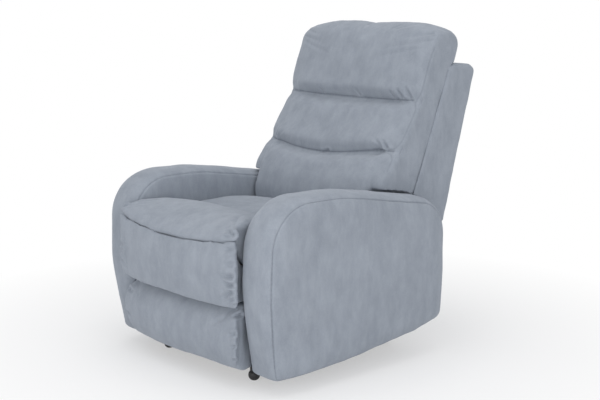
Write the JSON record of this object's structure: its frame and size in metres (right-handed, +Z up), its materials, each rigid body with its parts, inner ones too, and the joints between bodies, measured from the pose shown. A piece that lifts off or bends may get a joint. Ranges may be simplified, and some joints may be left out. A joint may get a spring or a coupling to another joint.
{
  "type": "recliner armchair",
  "caption": "Upholstered armchair whose padded back reclines while the seat glides forward, with a fold-out leg rest on a steel linkage and a recessed release in one arm.",
  "frame": {"origin": "on the floor, below the middle of the chair's box", "axes": "+Z up, the sitter faces -Y, +X at the sitter's left hand"},
  "size_m": [0.826, 1.0281, 1.05],
  "materials": {
    "upholstery": "matte",
    "timber": "satin",
    "black_steel": "satin",
    "zinc": "satin",
    "black_plastic": "matte"
  },
  "bodies": {
    "base": {"base_rail_left": "black_steel", "base_rail_right": "black_steel", "base_cross_tubes": "black_steel", "feet": "black_plastic", "foot_bolts": "zinc", "side_plate_left": "black_steel", "side_plate_right": "black_steel", "arm_cover_left": "upholstery", "arm_cover_right": "upholstery", "arm_frame_left": "timber", "arm_frame_right": "timber", "arm_bolts": "zinc", "arm_spacers": "zinc", "rear_panel": "upholstery", "release_cup": "black_plastic", "release_pin": "zinc", "recline_pins": "zinc"},
    "release_paddle": {"release_paddle": "black_plastic"},
    "seat": {"seat_side_rail_left": "timber", "seat_side_rail_right": "timber", "seat_front_rail": "timber", "seat_rear_rail": "timber", "seat_cushion": "upholstery", "seat_glides": "black_plastic", "seat_bracket_left": "black_steel", "seat_bracket_right": "black_steel", "seat_springs": "zinc", "seat_spring_clips": "zinc"},
    "back": {"back_outer_cover": "upholstery", "back_wing_boards": "timber", "back_posts": "timber", "back_top_rail": "timber", "back_bottom_rail": "timber", "back_bracket_left": "black_steel", "back_bracket_right": "black_steel", "back_springs": "zinc", "lumbar_pad": "upholstery", "middle_pad": "upholstery", "headrest_pad": "upholstery"},
    "rear_links": {"rear_link_left": "black_steel", "rear_link_right": "black_steel", "rear_link_pins": "zinc", "drive_tube": "black_steel"},
    "front_links": {"front_link_left": "black_steel", "front_link_right": "black_steel", "front_link_pins": "zinc"},
    "rear_cross_links": {"rear_cross_link_left": "black_steel", "rear_cross_link_right": "black_steel"},
    "front_cross_links": {"front_cross_link_left": "black_steel", "front_cross_link_right": "black_steel", "front_cross_link_pins": "zinc"},
    "control_links": {"control_link_left": "black_steel", "control_link_right": "black_steel", "control_link_pins": "zinc"},
    "footrest": {"footrest_board": "timber", "footrest_bracket_left": "black_steel", "footrest_bracket_right": "black_steel", "footrest_screws": "zinc", "footrest_upper_pad": "upholstery", "footrest_lower_pad": "upholstery"}
  },
  "joints": [
    {"name": "back_recline", "type": "hinge", "parent": "base", "child": "back", "pos_m": [0, 0.16, 0.372], "axis": [-1, 0, 0], "range_deg": [0, 38]},
    {"name": "seat_glide", "type": "slide", "parent": "base", "child": "seat", "axis": [0, -1, 0], "range_m": [0, 0.0505]},
    {"name": "legrest_open", "type": "hinge", "parent": "seat", "child": "rear_links", "pos_m": [0, -0.251, 0.26997], "axis": [-1, 0, 0], "range_deg": [0, 68]},
    {"name": "front_link_fold", "type": "hinge", "parent": "rear_links", "child": "front_links", "pos_m": [0, -0.30665, 0.0623], "axis": [-1, 0, 0], "range_deg": [-137, 0]},
    {"name": "rear_cross_link_fold", "type": "hinge", "parent": "rear_links", "child": "rear_cross_links", "pos_m": [0, -0.27882, 0.16614], "axis": [-1, 0, 0], "range_deg": [-137, 0]},
    {"name": "front_cross_link_fold", "type": "hinge", "parent": "front_links", "child": "front_cross_links", "pos_m": [0, -0.33253, 0.15889], "axis": [-1, 0, 0], "range_deg": [0, 137]},
    {"name": "control_link_fold", "type": "hinge", "parent": "front_cross_links", "child": "control_links", "pos_m": [0, -0.3413, 0.08743], "axis": [-1, 0, 0], "range_deg": [-137, 0]},
    {"name": "footrest_tilt", "type": "hinge", "parent": "front_links", "child": "footrest", "pos_m": [0, -0.35841, 0.25549], "axis": [-1, 0, 0], "range_deg": [0, 137]},
    {"name": "release_pull", "type": "hinge", "parent": "base", "child": "release_paddle", "pos_m": [-0.406, -0.2965, 0.35], "axis": [0, 0, 1], "range_deg": [0, 35], "stiffness_Nm_per_rad": 0.6}
  ],
  "couplings": [
    {"joint": "seat_glide", "follows": "back_recline", "m_per_rad": 0.075389},
    {"joint": "front_link_fold", "follows": "legrest_open", "ratio": -2},
    {"joint": "rear_cross_link_fold", "follows": "legrest_open", "ratio": -2},
    {"joint": "front_cross_link_fold", "follows": "legrest_open", "ratio": 2},
    {"joint": "control_link_fold", "follows": "legrest_open", "ratio": -2},
    {"joint": "footrest_tilt", "follows": "legrest_open", "ratio": 2}
  ]
}
